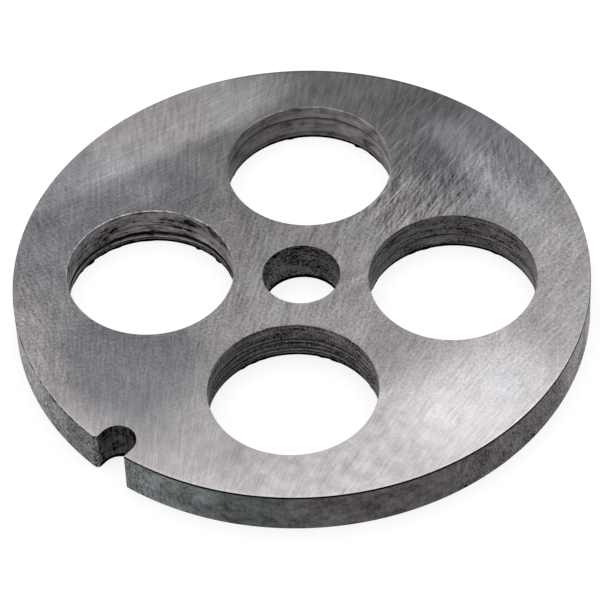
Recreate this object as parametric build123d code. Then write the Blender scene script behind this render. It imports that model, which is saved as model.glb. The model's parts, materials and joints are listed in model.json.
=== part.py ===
from build123d import *
from math import sqrt
import os

# Meat grinder plate for a size 8 grinder head: one disc of tool steel, turned, drilled, notched and ground.
# Lengths are millimetres and angles are degrees. The origin is where the bore axis meets the underside.
# +Z runs up the bore to the cutting face, which the knife sweeps. The locating notch opens towards -Y.

# Disc
plate_diameter = 62.0
plate_thickness = 5.0

# Centre bore, which carries the stud at the end of the auger
bore_diameter = 8.3

# Feed holes, which the cut meat leaves through, relieved a little at the underside
feed_hole_count = 4
feed_hole_diameter = 18.0
feed_circle_diameter = 32.5
feed_hole_relief = 0.2
feed_hole_relief_height = 0.8
notch_to_feed_hole_angle = 37.0

# Locating notch, which straddles the pin in the head, with one corner of its mouth broken
notch_width = 4.0
notch_depth = 3.3
notch_corner_break = 0.35

# Worked out from the sizes above
plate_radius = plate_diameter / 2
bore_radius = bore_diameter / 2
feed_hole_radius = feed_hole_diameter / 2
feed_circle_radius = feed_circle_diameter / 2
notch_end_radius = notch_width / 2
notch_end_offset = plate_radius - notch_depth + notch_end_radius
notch_corner_offset = sqrt(plate_radius**2 - notch_end_radius**2)
notch_direction = -90.0


def turned_blank():
    """Disc with its bore, turned from one half section."""
    wall = plate_radius - bore_radius
    half_section = Plane.XZ * Pos(bore_radius, 0) * Rectangle(wall, plate_thickness, align=Align.MIN)
    return revolve(half_section, Axis.Z)


def feed_hole():
    """Space of one feed hole on the Z axis: a straight bore that flares towards the underside."""
    outline = Polyline(
        (0, 0),
        (feed_hole_radius + feed_hole_relief, 0),
        (feed_hole_radius, feed_hole_relief_height),
        (feed_hole_radius, plate_thickness),
        (0, plate_thickness),
        close=True,
    )
    return revolve(Plane.XZ * make_face(outline), Axis.Z)


def notch():
    """Space of the notch: a slot with a round end, open at the rim."""
    round_end = Circle(notch_end_radius)
    straight = Rectangle(notch_width, notch_depth, align=(Align.CENTER, Align.MAX))
    return extrude(Pos(0, -notch_end_offset) * (round_end + straight), plate_thickness)


def break_notch_corner(plate):
    """Takes off the upright edge at the left of the notch's mouth, as seen from outside with +Z up."""
    corner = Vector(-notch_end_radius, -notch_corner_offset, plate_thickness / 2)
    upright_edges = plate.edges().filter_by(Axis.Z)
    return chamfer(upright_edges.sort_by_distance(corner)[0], notch_corner_break)


def grinder_plate():
    first_hole_direction = notch_direction + notch_to_feed_hole_angle
    hole_places = PolarLocations(feed_circle_radius, feed_hole_count, first_hole_direction)
    plate = turned_blank() - hole_places * feed_hole() - notch()
    return break_notch_corner(plate)


os.makedirs("parts", exist_ok=True)
export_step(grinder_plate(), "parts/grinder_plate.step")
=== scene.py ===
import json
import math
import random

import bmesh
import bpy
from mathutils import Matrix, Vector


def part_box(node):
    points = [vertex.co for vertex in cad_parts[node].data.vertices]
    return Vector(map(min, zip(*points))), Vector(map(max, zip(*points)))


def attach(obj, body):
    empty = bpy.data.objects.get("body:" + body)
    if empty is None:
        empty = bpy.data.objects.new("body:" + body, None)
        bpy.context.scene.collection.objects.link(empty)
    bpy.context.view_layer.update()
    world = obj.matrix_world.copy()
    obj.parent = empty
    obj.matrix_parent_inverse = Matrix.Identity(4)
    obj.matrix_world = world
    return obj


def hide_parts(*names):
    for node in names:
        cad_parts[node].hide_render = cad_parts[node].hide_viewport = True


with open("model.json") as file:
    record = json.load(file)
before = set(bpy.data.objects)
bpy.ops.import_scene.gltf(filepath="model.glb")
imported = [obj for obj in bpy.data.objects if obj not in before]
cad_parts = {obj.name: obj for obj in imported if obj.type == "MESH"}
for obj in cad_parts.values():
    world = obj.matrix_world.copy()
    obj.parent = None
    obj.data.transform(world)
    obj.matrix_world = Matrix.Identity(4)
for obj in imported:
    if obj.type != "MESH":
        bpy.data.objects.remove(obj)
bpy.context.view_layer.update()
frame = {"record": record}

# Meat grinder plate: one disc of ground tool steel with a centre bore, four feed holes and a locating
# notch. Lengths are metres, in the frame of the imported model: +Z up the bore to the cutting face, and the
# notch towards -Y.

MM = 0.001
PLATE_NODE = "grinder_plate"

# ---------------------------------------------------------------- sizes

mounts = {mount["name"]: mount for mount in frame["record"]["mounts"]}
openings = frame["record"]["physics"]["openings"]
plate_low, plate_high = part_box(PLATE_NODE)

HAIR = 0.001 * MM
PLATE_RADIUS = min(plate_high.x, -plate_low.x, plate_high.y) - HAIR
BORE_RADIUS = mounts["centre_bore"]["dims"]["r_mm"] * MM
NOTCH_END_OFFSET = -mounts["locating_notch"]["pos_m"][1]
THICKNESS = plate_high.z - plate_low.z
FEED_HOLE_RADIUS = 9.0 * MM
FEED_HOLE_RELIEF = 0.2 * MM
FEED_HOLE_RELIEF_HEIGHT = 0.8 * MM
NOTCH_END_RADIUS = 2.0 * MM
NOTCH_CORNER_BREAK = 0.35 * MM
EDGE_BREAK = 0.04 * MM
CUTTER_OVERRUN = 1.0 * MM
ORIGIN = Vector((0, 0, 0))

# Vertices nearer than this are merged, where a turned form closes on itself and after each cut.
SEAM_GAP = EDGE_BREAK / 20
CUT_GAP = EDGE_BREAK / 50

# Straight sides that stand for each round.
RIM_STEPS = 480
FEED_HOLE_STEPS = 224
BORE_STEPS = 144
NOTCH_END_STEPS = 64
SMOOTH_BELOW = math.radians(30)

# Seeds of the tool rings. The feed holes count on from theirs.
RIM_SEED = 11
BORE_SEED = 29
FEED_HOLE_SEED = 40


def opening_centre(opening):
    """Middle of an opening's box, seen from above."""
    low, high = opening["box_m"]
    return Vector(((low[0] + high[0]) / 2, (low[1] + high[1]) / 2, 0))


FEED_HOLE_PLACES = [opening_centre(opening) for opening in openings]

# The camera stands on this side of the plate. Marks on the faces are placed as seen from there, in
# millimetres to the right of the bore axis and away from the camera.
CAMERA_AZIMUTH = math.radians(42.1)


def seen(right, away, up=0.0):
    """Point of the plate's frame, in millimetres, for a place as the camera sees it."""
    return Matrix.Rotation(CAMERA_AZIMUTH, 3, "Z") @ Vector((right, away, up))


# ---------------------------------------------------------------- modelling by operators


def deselect_all():
    bpy.ops.object.select_all(action="DESELECT")


def make_active(piece):
    deselect_all()
    piece.select_set(True)
    bpy.context.view_layer.objects.active = piece


def edit(piece):
    make_active(piece)
    bpy.ops.object.mode_set(mode="EDIT")


def leave_edit():
    bpy.ops.object.mode_set(mode="OBJECT")


def select_where(piece, kind, test):
    """In edit mode, selects only the vertices or faces whose place passes the test."""
    bpy.ops.mesh.select_mode(type="VERT" if kind == "verts" else "FACE")
    bpy.ops.mesh.select_all(action="DESELECT")
    mesh = bmesh.from_edit_mesh(piece.data)
    for element in getattr(mesh, kind):
        place = element.co if kind == "verts" else element.calc_center_median()
        element.select_set(test(place, element.normal))
    mesh.select_flush_mode()
    bmesh.update_edit_mesh(piece.data)


def lathe(name, profile, centre, steps):
    """Closed solid turned about the upright axis through centre, from a profile of (radius, height)."""
    deselect_all()
    first_radius, first_height = profile[0]
    start = centre + Vector((first_radius, 0, first_height))
    bpy.ops.mesh.primitive_plane_add(size=MM, location=start)
    piece = bpy.context.object
    piece.name = name
    bpy.ops.object.transform_apply(location=True)
    bpy.ops.object.mode_set(mode="EDIT")
    bpy.ops.mesh.merge(type="CENTER")
    for (radius, height), (next_radius, next_height) in zip(profile, profile[1:]):
        step = (next_radius - radius, 0, next_height - height)
        bpy.ops.mesh.extrude_vertices_move(TRANSFORM_OT_translate={"value": step})
    bpy.ops.mesh.select_all(action="SELECT")
    bpy.ops.mesh.spin(steps=steps, angle=math.tau, center=centre, axis=(0, 0, 1))
    bpy.ops.mesh.select_all(action="SELECT")
    bpy.ops.mesh.remove_doubles(threshold=SEAM_GAP)
    bpy.ops.mesh.normals_make_consistent(inside=False)
    leave_edit()
    return piece


def cut(piece, cutter):
    """Takes the cutter's space out of the piece and deletes the cutter."""
    make_active(piece)
    modifier = piece.modifiers.new("cut", "BOOLEAN")
    modifier.operation = "DIFFERENCE"
    modifier.solver = "EXACT"
    modifier.object = cutter
    bpy.ops.object.modifier_apply(modifier=modifier.name)
    bpy.data.objects.remove(cutter)
    edit(piece)
    bpy.ops.mesh.select_all(action="SELECT")
    bpy.ops.mesh.remove_doubles(threshold=CUT_GAP)
    leave_edit()


# ---------------------------------------------------------------- the plate's form

RING_PITCH = 0.16 * MM
RING_DEPTH = 0.012 * MM
DEEPEST_GROOVE = 0.1 * MM

# Grooves that the boring tool left in each feed hole: (height and half width in millimetres, depth from
# 0 to 1). The holes are named by the side of the bore that they are on, as the camera sees it.
BORING_GROOVES = {
    "left": [(1.5, 0.36, 1.0), (0.72, 0.18, 0.9), (2.8, 0.14, 0.5)],
    "far": [(3.2, 0.2, 0.6), (0.9, 0.4, 0.4)],
    "right": [(2.0, 0.16, 0.6), (0.8, 0.2, 0.4)],
    "near": [(2.7, 0.14, 0.6), (2.1, 0.15, 0.7), (1.4, 0.15, 0.7), (0.8, 0.15, 0.6)],
}

# Burrs on the lower edge of each feed hole, with their half widths and depths in millimetres.
BURRS = 30
BURR_HALF_WIDTHS = (0.2, 0.5)
BURR_DEPTHS = (0, 0.07)

# Larger burrs in the left feed hole: bearings in degrees from the camera's right.
LARGE_BURR_BEARINGS = (57, 38)
LARGE_BURR_HALF_WIDTH = 0.3 * MM
LARGE_BURR_DEPTH = 0.14 * MM

# Shallow pits low on the rim: (bearing from the camera's right, height in millimetres).
RIM_PITS = [(math.radians(-40.7), 0.3), (math.radians(-59), 0.25)]
PIT_BALL_RADIUS = 0.3 * MM
PIT_DEPTH = 0.12 * MM


def side_of(place):
    """Which side of the bore a feed hole is on, as the camera sees it."""
    local = Matrix.Rotation(-CAMERA_AZIMUTH, 3, "Z") @ place
    if abs(local.x) > abs(local.y):
        return "right" if local.x > 0 else "left"
    return "far" if local.y > 0 else "near"


def ripple(rng):
    """Depth of one tool ring, in metres."""
    return rng.uniform(-RING_DEPTH, RING_DEPTH)


def plate_blank():
    """Disc with fine turning rings round its rim and both rim edges just broken."""
    rng = random.Random(RIM_SEED)
    rings = round(THICKNESS / RING_PITCH)
    profile = [(0, 0), (PLATE_RADIUS - EDGE_BREAK, 0)]
    for ring in range(rings + 1):
        height = EDGE_BREAK + (THICKNESS - 2 * EDGE_BREAK) * ring / rings
        profile.append((PLATE_RADIUS - abs(ripple(rng)) / 3, height))
    profile += [(PLATE_RADIUS - EDGE_BREAK, THICKNESS), (0, THICKNESS)]
    return lathe("ground_plate", profile, ORIGIN, RIM_STEPS)


def bored_profile(radius, relief, relief_height, grooves, seed):
    """Profile of a bored hole's space, with tool rings, its grooves and a relief at the underside."""
    rng = random.Random(seed)
    rings = round(THICKNESS / RING_PITCH)
    profile = [(0, -CUTTER_OVERRUN), (radius + relief, -CUTTER_OVERRUN), (radius + relief, 0)]
    for ring in range(1, rings):
        height = THICKNESS * ring / rings
        flare = relief * max(0.0, 1 - height / relief_height)
        groove = 0.0
        for middle, half_width, depth in grooves:
            nearness = 1 - abs(height - middle * MM) / (half_width * MM)
            groove += DEEPEST_GROOVE * depth * max(0.0, nearness)
        profile.append((radius + flare + groove + ripple(rng), height))
    profile += [
        (radius, THICKNESS - EDGE_BREAK),
        (radius + EDGE_BREAK, THICKNESS),
        (radius + EDGE_BREAK, THICKNESS + CUTTER_OVERRUN),
        (0, THICKNESS + CUTTER_OVERRUN),
    ]
    return profile


def push_lower_edge(cutter, centre, angle, half_width, inward):
    """Moves a short run of a cutter's lower edge towards its middle, which leaves a burr on the plate."""
    direction = Vector((math.cos(angle), math.sin(angle), 0))
    middle = centre + direction * (FEED_HOLE_RADIUS + FEED_HOLE_RELIEF)

    def on_run(place, _):
        return place.z < EDGE_BREAK and math.hypot(place.x - middle.x, place.y - middle.y) < half_width

    select_where(cutter, "verts", on_run)
    bpy.ops.transform.translate(value=-direction * inward)


def feed_hole_cutter(centre, side, seed):
    grooves = BORING_GROOVES[side]
    profile = bored_profile(FEED_HOLE_RADIUS, FEED_HOLE_RELIEF, FEED_HOLE_RELIEF_HEIGHT, grooves, seed)
    cutter = lathe("feed_hole", profile, centre, FEED_HOLE_STEPS)
    rng = random.Random(seed)
    edit(cutter)
    for _ in range(BURRS):
        angle = rng.uniform(0, math.tau)
        half_width = rng.uniform(*BURR_HALF_WIDTHS) * MM
        burr_depth = rng.uniform(*BURR_DEPTHS) * MM
        push_lower_edge(cutter, centre, angle, half_width, burr_depth)
    if side == "left":
        for bearing in LARGE_BURR_BEARINGS:
            angle = math.radians(bearing) + CAMERA_AZIMUTH
            push_lower_edge(cutter, centre, angle, LARGE_BURR_HALF_WIDTH, LARGE_BURR_DEPTH)
    leave_edit()
    return cutter


def bore_cutter():
    profile = bored_profile(BORE_RADIUS, 0.0, RING_PITCH, [], BORE_SEED)
    return lathe("bore", profile, ORIGIN, BORE_STEPS)


def notch_cutter():
    """Slot with a round end, made from a round whose outer half is drawn out past the rim."""
    deselect_all()
    depth = THICKNESS + 2 * CUTTER_OVERRUN
    centre = (0, -NOTCH_END_OFFSET, THICKNESS / 2)
    bpy.ops.mesh.primitive_cylinder_add(
        vertices=NOTCH_END_STEPS, radius=NOTCH_END_RADIUS, depth=depth, location=centre
    )
    cutter = bpy.context.object
    bpy.ops.object.transform_apply(location=True)
    bpy.ops.object.mode_set(mode="EDIT")

    def in_outer_half(place, _):
        return place.y < -NOTCH_END_OFFSET - NOTCH_END_RADIUS / 50

    select_where(cutter, "verts", in_outer_half)
    past_rim = 3 * NOTCH_END_RADIUS
    bpy.ops.transform.translate(value=(0, -past_rim, 0))
    leave_edit()
    return cutter


def notch_corner_cutter():
    """Block whose one face is the broken corner at the left of the notch's mouth."""
    deselect_all()
    mouth_offset = math.sqrt(PLATE_RADIUS**2 - NOTCH_END_RADIUS**2)
    corner = Vector((-NOTCH_END_RADIUS, -mouth_offset, THICKNESS / 2))
    side = 4 * NOTCH_CORNER_BREAK
    outward = Vector((1, -1, 0)).normalized()
    place = corner + outward * (side / 2 - NOTCH_CORNER_BREAK / math.sqrt(2))
    bpy.ops.mesh.primitive_cube_add(size=side, location=place, rotation=(0, 0, math.radians(45)))
    cutter = bpy.context.object
    cutter.scale.z = 2 * THICKNESS / side
    bpy.ops.object.transform_apply(location=True, rotation=True, scale=True)
    return cutter


def rim_pit_cutter(bearing, height):
    """Ball that leaves a shallow pit in the rim, at a bearing from the camera's right."""
    deselect_all()
    direction = seen(math.cos(bearing), math.sin(bearing))
    place = direction * (PLATE_RADIUS + PIT_BALL_RADIUS - PIT_DEPTH) + Vector((0, 0, height * MM))
    bpy.ops.mesh.primitive_ico_sphere_add(subdivisions=3, radius=PIT_BALL_RADIUS, location=place)
    bpy.ops.object.transform_apply(location=True)
    return bpy.context.object


def ground_plate():
    plate = plate_blank()
    for index, place in enumerate(FEED_HOLE_PLACES):
        cut(plate, feed_hole_cutter(place, side_of(place), FEED_HOLE_SEED + index))
    cut(plate, bore_cutter())
    cut(plate, notch_cutter())
    cut(plate, notch_corner_cutter())
    for bearing, height in RIM_PITS:
        cut(plate, rim_pit_cutter(bearing, height))
    make_active(plate)
    bpy.ops.object.shade_smooth_by_angle(angle=SMOOTH_BELOW)
    return plate


# ---------------------------------------------------------------- material helpers


def feed(tree, socket, value):
    """Gives an input its value: another node's socket is linked, and anything else is set."""
    if isinstance(value, bpy.types.NodeSocket):
        tree.links.new(value, socket)
    else:
        socket.default_value = value


def add(tree, kind, inputs=None, **settings):
    """Adds a shader node with these inputs and settings."""
    node = tree.nodes.new("ShaderNode" + kind)
    for name, value in settings.items():
        setattr(node, name, value)
    for name, value in (inputs or {}).items():
        feed(tree, node.inputs[name], value)
    return node


def math_node(tree, operation, *values):
    node = add(tree, "Math", operation=operation)
    for socket, value in zip(node.inputs, values):
        feed(tree, socket, value)
    return node.outputs[0]


def vector_node(tree, operation, *values):
    node = add(tree, "VectorMath", operation=operation)
    for socket, value in zip(node.inputs, values):
        feed(tree, socket, value)
    return node


def vector_math(tree, operation, *values):
    return vector_node(tree, operation, *values).outputs["Vector"]


def millimetre_place(tree):
    """Place on the plate in millimetres."""
    place = add(tree, "TexCoord").outputs["Object"]
    scaled = vector_node(tree, "SCALE", place)
    scaled.inputs["Scale"].default_value = 1 / MM
    return scaled.outputs["Vector"]


def grain(tree, place, scale, turn=0.0, detail=2.0, roughness=0.5):
    """Noise stretched along one direction: cycles per millimetre along each axis after the turn."""
    turned = add(tree, "VectorRotate", {"Vector": place, "Angle": -turn}, rotation_type="Z_AXIS")
    stretched = vector_math(tree, "MULTIPLY", turned.outputs["Vector"], scale)
    settings = {"Vector": stretched, "Scale": 1.0, "Detail": detail, "Roughness": roughness}
    return add(tree, "TexNoise", settings).outputs["Fac"]


def fade(tree, value, start, end):
    """0 before start and 1 after end, smooth between. The two may be given in either order."""
    ends = {"Value": value, "From Min": start, "From Max": end}
    return add(tree, "MapRange", ends, interpolation_type="SMOOTHSTEP").outputs["Result"]


def patch(tree, place, centre, inner, outer):
    """1 within inner of a point and 0 past outer, in millimetres."""
    away = vector_node(tree, "DISTANCE", place, centre).outputs["Value"]
    return fade(tree, away, outer, inner)


def offset(tree, place, direction):
    """How far a place lies along a direction, in millimetres."""
    return vector_node(tree, "DOT_PRODUCT", place, direction).outputs["Value"]


def stripe(tree, place, centre, angle, half_length, half_width):
    """1 along the middle of a straight stripe, at an angle from the camera's right, and 0 outside it."""
    from_centre = vector_math(tree, "SUBTRACT", place, centre)
    lengthwise = seen(math.cos(angle), math.sin(angle))
    crosswise = seen(-math.sin(angle), math.cos(angle))
    along = math_node(tree, "ABSOLUTE", offset(tree, from_centre, lengthwise))
    across = math_node(tree, "ABSOLUTE", offset(tree, from_centre, crosswise))
    ends = fade(tree, along, half_length, half_length * 0.5)
    return both(tree, fade(tree, across, half_width, half_width * 0.3), ends)


def either(tree, first, second):
    return math_node(tree, "MAXIMUM", first, second)


def both(tree, first, second):
    return math_node(tree, "MULTIPLY", first, second)


def outside(tree, region):
    """1 where a region is 0, and 0 where it is 1."""
    return math_node(tree, "SUBTRACT", 1.0, region)


def contrast(tree, value, low, high):
    """Stretches the values between low and high to 0 and 1."""
    return add(tree, "MapRange", {"Value": value, "From Min": low, "From Max": high}).outputs["Result"]


def swing(noise, amount, region=None):
    """Layer that lightens and darkens as a noise swings about its middle. No region means everywhere."""
    return noise, 0.5, amount, region


def change(signal, amount, region=None):
    """Layer that changes the tone by the amount where a signal is 1."""
    return signal, 0.0, amount, region


def overlay(tree, start, *layers):
    """start plus amount times (signal - middle) times region, for each layer."""
    total = start
    for signal, middle, amount, region in layers:
        shifted = math_node(tree, "SUBTRACT", signal, middle)
        if region is not None:
            shifted = math_node(tree, "MULTIPLY", shifted, region)
        total = math_node(tree, "MULTIPLY_ADD", shifted, amount, total)
    return total


def tinted(tree, tone, tints, tint_value):
    """Colour of a tone times a tint between the two given, picked by a value from 0 to 1."""
    ramp = add(tree, "ValToRGB", {"Fac": tint_value})
    first, last = ramp.color_ramp.elements
    first.color, last.color = tints
    scaled = vector_node(tree, "SCALE", ramp.outputs["Color"])
    tree.links.new(tone, scaled.inputs["Scale"])
    return scaled.outputs["Vector"]


def new_metal(name):
    material = bpy.data.materials.new(name)
    material.use_nodes = True
    tree = material.node_tree
    shader = tree.nodes["Principled BSDF"]
    shader.inputs["Metallic"].default_value = 1.0
    return material, tree, shader


def bump(tree, shader, height, distance, strength):
    """Lights the surface as if it had this height, with distance in metres."""
    node = add(tree, "Bump", {"Height": height, "Distance": distance, "Strength": strength})
    tree.links.new(node.outputs["Normal"], shader.inputs["Normal"])


# ---------------------------------------------------------------- finishes

WARM_STEEL = (0.76, 0.722, 0.717, 1)
BLUE_STEEL = (0.718, 0.718, 0.775, 1)

# The main pass of the surface grinder: its marks are straight, and fan out from a point off the plate.
FAN_CENTRE = seen(-20, -68)

# A later pass went along a strip at the far left. Its marks lie at this angle to the camera's right, and
# its middle is this far from the bore, in millimetres.
STRIP_MARKS = math.radians(39)
STRIP_SIDE = seen(-0.5, 0.866)
STRIP_OFFSET = 28.5

# How far a stray scratch rises, from nothing to full, above its level of the noise.
SCRATCH_EDGE = 0.08

# Sockets of the Mix node when it mixes vectors.
MIX_FACTOR = 0
MIX_FIRST_VECTOR = 4
MIX_SECOND_VECTOR = 5
MIX_VECTOR = 1


def strokes(tree, place, width, length, angle, detail=2.0):
    """Grinding strokes, in millimetres, at an angle from the camera's right."""
    return grain(tree, place, (1 / length, 1 / width, 1), turn=angle + CAMERA_AZIMUTH, detail=detail)


def scratches(tree, place, width, length, angle, level):
    """Sparse bright scratches, 0 to 1: the strokes that rise above a level."""
    noise = strokes(tree, place, width, length, angle, detail=0.0)
    return contrast(tree, noise, level, level + SCRATCH_EDGE)


def ground_face_material():
    """Surface-ground steel: marks that fan out from one side, crossed by later passes and scratches."""
    material, tree, shader = new_metal("ground_face")
    place = millimetre_place(tree)
    plan = vector_math(tree, "MULTIPLY", place, (1, 1, 0))

    def region(right, away, inner, outer):
        """Round region of the face: full within inner of its middle and gone past outer."""
        return patch(tree, plan, seen(right, away), inner, outer)

    def towards(right, away):
        """How far each place lies in a direction that the camera sees."""
        return offset(tree, place, seen(right, away))

    ray = vector_math(tree, "SUBTRACT", place, FAN_CENTRE)
    ray_parts = add(tree, "SeparateXYZ", {"Vector": ray})
    bearing = math_node(tree, "ARCTAN2", ray_parts.outputs["Y"], ray_parts.outputs["X"])
    across = math_node(tree, "MULTIPLY", bearing, FAN_CENTRE.length)
    along = vector_node(tree, "LENGTH", ray).outputs["Value"]
    fan_place = add(tree, "CombineXYZ", {"X": across, "Y": along}).outputs["Vector"]
    fan_fine = grain(tree, fan_place, (3.6, 0.3, 1))
    fan_left = grain(tree, fan_place, (3.0, 0.35, 1), turn=math.radians(8), detail=1)
    fan_right = grain(tree, fan_place, (3.2, 0.35, 1), turn=math.radians(-9), detail=1)
    fan_broad = grain(tree, fan_place, (0.8, 0.05, 1))

    # Regions where later passes cross the first or take its place.
    strip_offset = offset(tree, place, STRIP_SIDE)
    from_strip = math_node(tree, "ABSOLUTE", math_node(tree, "SUBTRACT", strip_offset, STRIP_OFFSET))
    far_left_end = fade(tree, towards(1, 0), 5, -4)
    strip = both(tree, fade(tree, from_strip, 7, 3.5), far_left_end)
    strip_tail = both(tree, strip, fade(tree, towards(0.866, 0.5), -8, -15))
    strip_zone = region(-6, 25, 7, 15)
    far_left = both(tree, fade(tree, strip_offset, 9, 18), far_left_end)
    main_pass = math_node(tree, "MULTIPLY_ADD", either(tree, far_left, strip_zone), -0.65, 1.0)
    far_right = region(12, 11, 2, 11)
    inner_far_right = region(14, 18, 5, 13)
    outer_far_right = region(22, 14, 2, 8)
    middle = region(0, 0, 2, 19)
    left = region(-22, -6, 3, 17)
    inner_far_left = region(-13, 12, 1, 10)
    off_near_right = outside(tree, region(17, -20, 4, 13))
    near_middle = region(2, -25, 6, 16)
    scratched = both(tree, off_near_right, outside(tree, near_middle))
    left_rim = fade(tree, towards(-1, 0), 23, 28)
    crisp = fade(tree, math_node(tree, "ABSOLUTE", towards(0, 1)), 24, 8)

    upright = strokes(tree, place, 0.3, 3.0, math.radians(90))
    steep = strokes(tree, place, 0.34, 3.0, math.radians(71))
    backward = strokes(tree, place, 0.34, 4.0, math.radians(120))
    forward = strokes(tree, place, 0.28, 4.5, math.radians(56))
    along_strip = strokes(tree, place, 0.34, 7.0, STRIP_MARKS)
    low = strokes(tree, place, 0.26, 7.0, math.radians(28))
    level = strokes(tree, place, 0.3, 6.0, math.radians(2))
    stray = scratches(tree, place, 0.32, 7.0, math.radians(54), 0.6)
    stray_dark = scratches(tree, place, 0.34, 5.0, math.radians(63), 0.6)
    stray_long = scratches(tree, place, 0.4, 8.0, math.radians(50), 0.62)
    stray_low = scratches(tree, place, 0.3, 9.0, math.radians(26), 0.66)
    stray_steep = scratches(tree, place, 0.34, 9.0, math.radians(84), 0.64)
    stray_backward = scratches(tree, place, 0.3, 14.0, math.radians(108), 0.6)
    mottle = grain(tree, place, (0.16, 0.16, 1), detail=3)
    blotch = grain(tree, place, (0.7, 0.7, 1))
    speck = grain(tree, place, (3.2, 3.2, 1), roughness=0.6)

    marks = overlay(
        tree,
        1.0,
        swing(fan_fine, 0.6, main_pass),
        swing(fan_left, 0.3, both(tree, main_pass, off_near_right)),
        swing(fan_right, 0.3, main_pass),
        swing(fan_broad, 0.25, main_pass),
        swing(speck, 0.4),
        swing(speck, 0.9, crisp),
        swing(blotch, 0.3),
        swing(blotch, 0.45, near_middle),
        swing(fan_fine, -0.25, near_middle),
        swing(steep, 1.8, far_right),
        swing(forward, 2.0, far_right),
        swing(upright, 1.4, far_right),
        swing(backward, 0.6, far_right),
        swing(steep, 0.9, middle),
        swing(fan_broad, 0.4, middle),
        swing(low, 0.6, far_left),
        swing(upright, 0.4, far_left),
        swing(along_strip, 0.5, strip_zone),
        swing(forward, 0.6, inner_far_left),
        swing(upright, 0.5, left),
        swing(level, 0.4, left),
        swing(backward, 0.7, left_rim),
        swing(upright, 1.4, outer_far_right),
        change(stray, 0.5, far_right),
        change(stray_dark, -0.25, far_right),
        change(stray_long, 0.3, inner_far_right),
        change(stray_low, 0.12, scratched),
        change(stray_steep, 0.12, scratched),
        change(stray_backward, 0.16, left_rim),
    )

    # Broad regions of the face made a little lighter or darker. The region near the right is a painted
    # highlight that adds to the softbox's reflection there. Places are named as the camera sees them.
    # Painted highlight: the face is made lighter near the right, where the softbox's reflection falls.
    near_right_highlight = region(18, -18, 3, 12)
    right = region(27, 3, 1, 9)
    right_stripe = stripe(tree, place, seen(20.6, 14), math.radians(121), 12, 2.6)
    strip_middle = region(-13, 23, 4, 17)
    strip_head = region(-5, 25, 1, 6)
    strip_end = region(-25, 15, 1, 7)
    whole_left = region(-17, -12, 8, 24)
    left_side = region(-28, 1, 1, 6)
    left_hollow = region(-19, -11, 5, 11)
    left_edge = fade(tree, towards(-0.905, -0.426), 26.6, 28.8)
    by_bore = region(4.5, -5, 0, 4)
    by_right_hole = region(17.5, -11.5, 0, 4.5)
    behind_right_hole = region(15.5, 13, 1, 5.5)
    far_right_side = region(13, 22, 3, 11)
    near_hole_right = region(10, -23, 3, 10)
    near_hole_front = region(2, -29, 1, 8)
    near_hole_left = region(-8, -25, 0, 4)
    near_left_side = region(-16.5, -20.5, 0, 5)
    near_left_web = region(-10, -11.5, 1, 6)
    near_right_web = region(11, -11.5, 2, 8)
    far_left_web = region(-12, 13, 1, 5)
    outer_far_left_web = region(-18, 14.5, 1, 5)
    far_side = region(-2, 30, 1, 9)
    rim_line = fade(tree, vector_node(tree, "LENGTH", plan).outputs["Value"], 30.5, 30.95)
    far_rim_line = both(tree, rim_line, region(3, 30, 6, 18))
    # Painted highlight: a light line along the face's near rim, where the edge catches the light.
    near_rim_highlight = both(tree, rim_line, fade(tree, towards(0, 1), -8, -16))
    tone = overlay(
        tree,
        0.5,
        swing(mottle, 0.12),
        change(near_right_highlight, 0.28),
        change(strip_middle, 0.09),
        change(strip_head, 0.06),
        change(strip_end, 0.06),
        change(whole_left, -0.06),
        change(left_side, -0.03),
        change(by_bore, -0.05),
        change(by_right_hole, -0.08),
        change(near_hole_right, 0.07),
        change(near_hole_front, 0.03),
        change(right, 0.06),
        change(right_stripe, 0.17),
        change(far_right_side, -0.13),
        change(behind_right_hole, -0.14),
        change(left_hollow, -0.15),
        change(near_left_side, -0.08),
        change(near_hole_left, -0.08),
        change(near_left_web, -0.02),
        change(far_side, -0.06),
        change(near_right_web, -0.13),
        change(outer_far_left_web, 0.12),
        change(far_left_web, -0.1),
        change(left_edge, 0.05),
        change(strip, 0.06),
        change(strip_tail, -0.15),
        change(far_rim_line, -0.16),
        change(near_rim_highlight, 0.1),
    )
    brightest = 0.95
    tone = math_node(tree, "MINIMUM", math_node(tree, "MULTIPLY", tone, marks), brightest)

    # Regions where the steel is bluer, and the middle of one painted highlight. The rest is warmer.
    far_left_tint = region(-18, 12, 5, 12)
    left_tint = region(-27.5, 6, 3, 10)
    far_tint = region(0, 28, 9, 18)
    right_tint = region(24, 9, 1, 6)
    far_right_tint = region(20, 17, 5, 12)
    # Painted highlight: the bluish-white middle of the painted highlight near the right.
    near_right_highlight_tint = region(20.5, -17, 0, 4.5)
    tint = overlay(
        tree,
        0.05,
        swing(mottle, 0.7),
        change(left_hollow, 1.0),
        change(far_left_tint, 1.0),
        change(left_tint, 0.9),
        change(far_tint, 0.4),
        change(right_tint, 0.5),
        change(far_right_tint, 0.9),
        change(near_right_highlight_tint, 0.6),
        change(left_edge, -0.9),
        change(strip, -0.3),
        change(strip_tail, 0.8),
    )
    colour = tinted(tree, tone, (WARM_STEEL, BLUE_STEEL), tint)
    tree.links.new(colour, shader.inputs["Base Color"])
    roughness = overlay(tree, 0.33, swing(fan_fine, 0.15), swing(mottle, 0.1))
    tree.links.new(roughness, shader.inputs["Roughness"])

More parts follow.
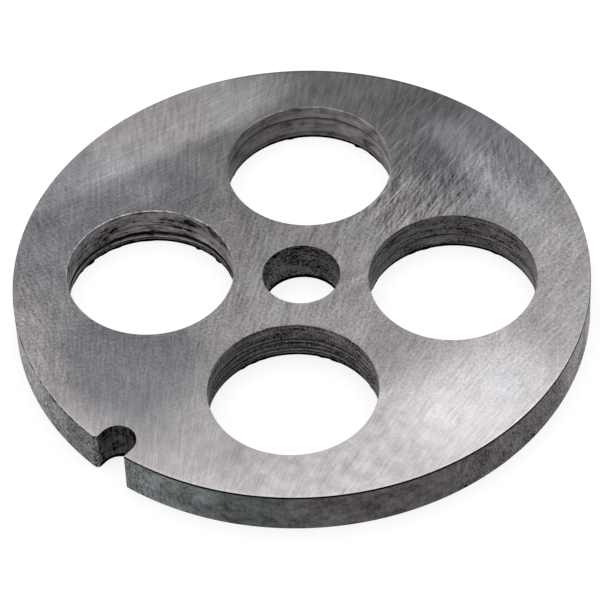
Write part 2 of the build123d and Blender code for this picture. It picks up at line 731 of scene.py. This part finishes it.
    # The steel's shine is drawn out across the grinding marks: the fan's, or the strip's own.
    shader.inputs["Anisotropic"].default_value = 0.6
    fan_crosswise = vector_math(tree, "NORMALIZE", vector_math(tree, "CROSS_PRODUCT", (0, 0, 1), ray))
    strip_crosswise = seen(-math.sin(STRIP_MARKS), math.cos(STRIP_MARKS))
    crosswise = add(tree, "Mix", data_type="VECTOR")
    feed(tree, crosswise.inputs[MIX_FACTOR], strip)
    feed(tree, crosswise.inputs[MIX_FIRST_VECTOR], fan_crosswise)
    feed(tree, crosswise.inputs[MIX_SECOND_VECTOR], strip_crosswise)
    tree.links.new(crosswise.outputs[MIX_VECTOR], shader.inputs["Tangent"])
    bump(tree, shader, marks, 0.02 * MM, 0.4)
    return material


WALL_TINTS = ((1.0, 0.87, 0.9, 1), (1.0, 0.94, 0.97, 1))
RIM_TINTS = ((1.0, 0.91, 0.88, 1), (0.87, 0.98, 1.01, 1))
PLATE_TOP = THICKNESS / MM

# The darkest that a wall or the rim gets.
DARKEST_WALL = 0.003
DARKEST_RIM = 0.004


def dull(tree, shader, shade_and_dirt):
    """Takes away the metal's shine over dark spots, dirt and painted shade: 1 is soot-dull and 0 is bare
    metal.
    """
    shader.inputs["Specular IOR Level"].default_value = 0.0
    tree.links.new(outside(tree, shade_and_dirt), shader.inputs["Metallic"])


def aged_wall_material(name, look, centre=None, grooves=(), upright=False, seed=0):
    """Bored or milled steel that has darkened: tool lines, mottled spots, grooves with dirt and painted
    shade.

    The look gives the tone of the steel, how strong its lines, spots, clouds, grit and painted top-edge
    highlight are, and the size of its spots in millimetres. The lower edge is painted black, as shade. A
    wall with a centre is painted lighter to the camera's right, as light from the left, by an amount in the
    look.
    Upright walls have their tool lines from top to bottom.
    """
    material, tree, shader = new_metal(name)
    place = millimetre_place(tree)
    shifted = vector_math(tree, "ADD", place, (seed * 7.3, seed * 3.1, 0))
    line_scale = (2.4, 2.4, 0.25) if upright else (0.2, 0.2, 4.8)
    fine_lines = contrast(tree, grain(tree, shifted, line_scale), 0.35, 0.65)
    grit = contrast(tree, grain(tree, shifted, (5.2, 5.2, 4.0), detail=1), 0.34, 0.66)
    spot_scale = (0.75 / look["size"], 0.75 / look["size"], 1.2 / look["size"])
    spots = contrast(tree, grain(tree, shifted, spot_scale, detail=3, roughness=0.6), 0.34, 0.66)
    cloud = contrast(tree, grain(tree, shifted, (0.4, 0.4, 0.8)), 0.3, 0.7)
    marks = overlay(
        tree,
        1.0,
        swing(fine_lines, look["lines"]),
        swing(spots, look["spots"]),
        swing(grit, look["grit"]),
        swing(cloud, look["cloud"]),
    )
    height = add(tree, "SeparateXYZ", {"Vector": place}).outputs["Z"]
    ragged = overlay(tree, height, swing(spots, 0.12), swing(fine_lines, 0.08))
    # Painted shade: the lower edge of the wall is painted black, with a ragged border.
    shade_and_dirt = fade(tree, ragged, 0.6, 0.38)
    broken = contrast(tree, cloud, -0.3, 0.4)
    # The grooves are darkened with dirt and painted shade.
    for middle, half_width, depth in grooves:
        distance = math_node(tree, "ABSOLUTE", math_node(tree, "SUBTRACT", ragged, middle))
        groove = both(tree, fade(tree, distance, half_width, half_width * 0.4), broken)
        shade_and_dirt = either(tree, shade_and_dirt, math_node(tree, "MULTIPLY", groove, depth * 0.95))
    grime_and_shade = either(tree, shade_and_dirt, contrast(tree, marks, 0.85, 0.1))
    marks = math_node(tree, "MULTIPLY", marks, outside(tree, shade_and_dirt))
    tone = math_node(tree, "MULTIPLY", marks, look["tone"])
    # Painted light: a wall with a centre is made lighter towards the camera's right, as if lit more from
    # the left.
    if centre is not None:
        to_right = offset(tree, vector_math(tree, "SUBTRACT", place, centre / MM), seen(1, 0))
        lighter = math_node(tree, "MULTIPLY_ADD", to_right, look["side_light"], 1.0)
        tone = math_node(tree, "MULTIPLY", tone, lighter)
    shade = math_node(tree, "MAXIMUM", tone, DARKEST_WALL)
    # Painted highlight: bright specks and a thin light line along the top edge, where the edge catches the
    # light.
    if look["glints"]:
        top_edge = fade(tree, height, PLATE_TOP - 0.12, PLATE_TOP - 0.06)
        glint = both(tree, top_edge, contrast(tree, spots, -0.1, 1.0))
        shade = math_node(tree, "MULTIPLY_ADD", glint, look["glints"], shade)
        grime_and_shade = both(tree, grime_and_shade, outside(tree, top_edge))
        cloud = either(tree, cloud, top_edge)
    dull(tree, shader, grime_and_shade)
    colour = tinted(tree, shade, WALL_TINTS, cloud)
    tree.links.new(colour, shader.inputs["Base Color"])
    roughness = overlay(tree, 0.55, swing(spots, 0.2))
    tree.links.new(roughness, shader.inputs["Roughness"])
    bump(tree, shader, marks, 0.04 * MM, 0.6)
    return material


def rim_material():
    """Turned rim: grainy dark steel painted lighter to the sides as light, brown with a green and a blue
    cast.
    """
    material, tree, shader = new_metal("turned_rim")
    place = millimetre_place(tree)
    half_way_up = 2.5

    def region(right, away, inner, outer):
        """Region round a point half way up the rim: full within inner and gone past outer."""
        return patch(tree, place, seen(right, away, half_way_up), inner, outer)

    grit = contrast(tree, grain(tree, place, (5.2, 5.2, 4.0), detail=1), 0.34, 0.66)
    fine_spots = contrast(tree, grain(tree, place, (2.6, 2.6, 2.3), roughness=0.6), 0.36, 0.64)
    spots = contrast(tree, grain(tree, place, (1.1, 1.1, 1.2), detail=3, roughness=0.6), 0.33, 0.67)
    cloud = contrast(tree, grain(tree, place, (0.35, 0.35, 0.45)), 0.3, 0.7)
    sharp = fade(tree, math_node(tree, "ABSOLUTE", offset(tree, place, seen(1, 0))), 8, 24)
    marks = overlay(
        tree,
        1.0,
        swing(grit, 1.7, sharp),
        swing(fine_spots, 0.4),
        swing(spots, 0.6),
        swing(cloud, 0.7),
    )
    height = add(tree, "SeparateXYZ", {"Vector": place}).outputs["Z"]
    ragged = overlay(tree, height, swing(spots, 0.08))
    # Painted shade: a dark line just under the rim's top edge, broken up away from the left.
    painted_top_shade = fade(tree, ragged, PLATE_TOP - 0.34, PLATE_TOP - 0.14)
    away_from_left = fade(tree, offset(tree, place, seen(1, 0)), -24, -14)
    broken = either(tree, away_from_left, contrast(tree, spots, 0.4, 0.6))
    shade_and_dirt = math_node(tree, "MULTIPLY", both(tree, painted_top_shade, broken), 0.95)
    # Painted shade in the rim's pits.
    for bearing, pit_height in RIM_PITS:
        middle = seen(math.cos(bearing), math.sin(bearing)) * (PLATE_RADIUS / MM)
        middle.z = pit_height
        shade_and_dirt = either(tree, shade_and_dirt, patch(tree, place, middle, 0.12, 0.3))
    dull(tree, shader, either(tree, shade_and_dirt, contrast(tree, marks, 0.4, 0.0)))
    marks = math_node(tree, "MAXIMUM", marks, 0.45)
    marks = math_node(tree, "MULTIPLY", marks, outside(tree, shade_and_dirt))
    # Painted light: the rim is made lighter towards the camera's left and right, and beside the notch.
    tone = overlay(
        tree,
        0.09,
        change(region(-29, -6, 4, 17), 0.17),
        change(region(-17, -25, 4, 12), 0.07),
        change(region(30, -9, 3, 9), 0.10),
    )
    shade = math_node(tree, "MAXIMUM", math_node(tree, "MULTIPLY", marks, tone), DARKEST_RIM)
    green_side = region(-12, -28, 6, 14)
    blue_side = region(-27, -14, 5, 12)
    tint = overlay(
        tree,
        0.0,
        change(green_side, 0.9),
        change(blue_side, 0.45),
        swing(cloud, 0.6),
    )
    colour = tinted(tree, shade, RIM_TINTS, tint)
    tree.links.new(colour, shader.inputs["Base Color"])
    shader.inputs["Roughness"].default_value = 0.5
    bump(tree, shader, marks, 0.03 * MM, 0.5)
    return material


# ---------------------------------------------------------------- dressing the plate

# A face is level when the upright part of its normal is past this, and a hole's wall lies within this
# margin of the hole's own radius.
LEVEL_NORMAL = 0.9
WALL_MARGIN = 2 * FEED_HOLE_RELIEF


def dress(plate):
    """Gives each surface of the plate its finish, chosen by where it is and which way it faces."""
    looks = {
        "left": {
            "tone": 0.14, "lines": 0.8, "spots": 1.2, "size": 0.6,
            "cloud": 1.3, "grit": 0.35, "glints": 1.0, "side_light": 0.03,
        },
        "far": {
            "tone": 0.14, "lines": 0.4, "spots": 0.7, "size": 0.8,
            "cloud": 0.8, "grit": 0.1, "glints": 0.4, "side_light": 0.06,
        },
        "right": {
            "tone": 0.085, "lines": 1.0, "spots": 0.7, "size": 0.5,
            "cloud": 0.8, "grit": 0.9, "glints": 0, "side_light": 0.03,
        },
        "near": {
            "tone": 0.085, "lines": 1.2, "spots": 0.5, "size": 0.5,
            "cloud": 0.6, "grit": 1.2, "glints": 0.4, "side_light": 0.05,
        },
    }
    finishes = [("face", ground_face_material()), ("rim", rim_material())]
    bore_look = {
        "tone": 0.065, "lines": 0.6, "spots": 1.1, "size": 0.5,
        "cloud": 1.0, "grit": 1.8, "glints": 0,
    }
    notch_look = {
        "tone": 0.038, "lines": 1.3, "spots": 1.5, "size": 0.7,
        "cloud": 1.2, "grit": 1.0, "glints": 0,
    }
    finishes.append(("bore", aged_wall_material("bored_centre", bore_look, seed=5)))
    finishes.append(("notch", aged_wall_material("milled_notch", notch_look, upright=True, seed=6)))
    for index, place in enumerate(FEED_HOLE_PLACES):
        side = side_of(place)
        wall = aged_wall_material("bored_" + side, looks[side], place, BORING_GROOVES[side], seed=index)
        finishes.append((index, wall))
    for _, material in finishes:
        plate.data.materials.append(material)

    def radius_from(place, centre):
        return math.hypot(place.x - centre.x, place.y - centre.y)

    def surface(place, normal):
        if abs(normal.z) > LEVEL_NORMAL:
            return "face"
        for index, centre in enumerate(FEED_HOLE_PLACES):
            if radius_from(place, centre) < FEED_HOLE_RADIUS + WALL_MARGIN:
                return index
        if radius_from(place, ORIGIN) < BORE_RADIUS + WALL_MARGIN:
            return "bore"
        in_notch = abs(place.x) < NOTCH_END_RADIUS + EDGE_BREAK and place.y < 0
        if in_notch and radius_from(place, ORIGIN) < PLATE_RADIUS - 2 * EDGE_BREAK:
            return "notch"
        return "rim"

    edit(plate)
    for slot, (key, _) in enumerate(finishes):
        select_where(plate, "faces", lambda place, normal: surface(place, normal) == key)
        plate.active_material_index = slot
        bpy.ops.object.material_slot_assign()
        if key == "face":
            bpy.ops.mesh.faces_shade_flat()
    leave_edit()


plate = ground_plate()
dress(plate)
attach(plate, "root")
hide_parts(PLATE_NODE)

# ---------------------------------------------------------------- studio

FLOOR_SIDE = 40


def studio_floor():
    """Pale floor that shows white to the camera and in reflections, and keeps the plate's shadow."""
    deselect_all()
    bpy.ops.mesh.primitive_plane_add(size=FLOOR_SIDE, location=(0, 0, 0))
    floor = bpy.context.object
    floor.name = "studio_floor"
    material = bpy.data.materials.new("studio_floor")
    material.use_nodes = True
    tree = material.node_tree
    tree.nodes.clear()
    paths = add(tree, "LightPath")
    seen_directly = math_node(
        tree, "MAXIMUM", paths.outputs["Is Camera Ray"], paths.outputs["Is Glossy Ray"]
    )
    glow = add(tree, "Emission", {"Color": (1, 1, 1, 1), "Strength": 0.8})
    dim = add(tree, "BsdfDiffuse", {"Color": (0.3, 0.3, 0.3, 1)})
    pale = add(tree, "BsdfDiffuse", {"Color": (0.8, 0.8, 0.8, 1)})
    lit = add(tree, "AddShader")
    tree.links.new(glow.outputs[0], lit.inputs[0])
    tree.links.new(dim.outputs[0], lit.inputs[1])
    mix = add(tree, "MixShader", {"Fac": seen_directly})
    tree.links.new(pale.outputs[0], mix.inputs[1])
    tree.links.new(lit.outputs[0], mix.inputs[2])
    output = add(tree, "OutputMaterial")
    tree.links.new(mix.outputs[0], output.inputs["Surface"])
    floor.data.materials.append(material)


def softbox(name, bearing, away, up, width, depth, power):
    """Soft light aimed at the plate from away and above, in millimetres, turned about it by bearing."""
    deselect_all()
    bpy.ops.object.light_add(type="AREA")
    lamp = bpy.context.object
    lamp.name = name
    lamp.matrix_world = (
        Matrix.Rotation(CAMERA_AZIMUTH + bearing, 4, "Z")
        @ Matrix.Translation(Vector((0, away, up)) * MM)
        @ Matrix.Rotation(-math.atan2(away, up), 4, "X")
    )
    lamp.data.shape = "RECTANGLE"
    lamp.data.size = width * MM
    lamp.data.size_y = depth * MM
    lamp.data.energy = power
    lamp.visible_camera = False


def studio_world(overhead, horizon):
    """Plain surroundings, pale near the horizon like a backdrop and dimmer overhead."""
    pale_up_to = 0.3
    dim_from = 0.6
    world = bpy.data.worlds.new("studio")
    bpy.context.scene.world = world
    world.use_nodes = True
    tree = world.node_tree
    background = tree.nodes["Background"]
    background.inputs["Color"].default_value = (1, 1, 1, 1)
    direction = add(tree, "TexCoord").outputs["Generated"]
    height = add(tree, "SeparateXYZ", {"Vector": direction}).outputs["Z"]
    heights = {"Value": height, "From Min": pale_up_to, "From Max": dim_from}
    strengths = {"To Min": horizon, "To Max": overhead}
    level = add(tree, "MapRange", heights | strengths).outputs["Result"]
    tree.links.new(level, background.inputs["Strength"])


def studio_camera():
    """Long lens that looks down on the cutting face from the notch's side, rolled a little."""
    focal_pixels = 4195
    frame_pixels = 600
    sensor_width = 36.0
    elevation = math.radians(47.84)
    roll = math.radians(-2.8)
    distance = 449.7 * MM
    aim_right = -0.14 * MM
    aim_up = -2.76 * MM
    deselect_all()
    bpy.ops.object.camera_add()
    camera = bpy.context.object
    camera.name = "studio_camera"
    camera.data.sensor_width = sensor_width
    camera.data.lens = focal_pixels / frame_pixels * sensor_width
    camera.data.clip_start = 10 * MM
    camera.matrix_world = (
        Matrix.Translation((0, 0, THICKNESS))
        @ Matrix.Rotation(CAMERA_AZIMUTH, 4, "Z")
        @ Matrix.Rotation(math.pi / 2 - elevation, 4, "X")
        @ Matrix.Rotation(roll, 4, "Z")
        @ Matrix.Translation((aim_right, aim_up, distance))
    )
    bpy.context.scene.camera = camera


studio_floor()
studio_world(overhead=0.17, horizon=0.7)
softbox("overhead_softbox", bearing=math.radians(3), away=28, up=215, width=350, depth=250, power=0.536)
studio_camera()
bpy.context.scene.view_settings.view_transform = "Standard"
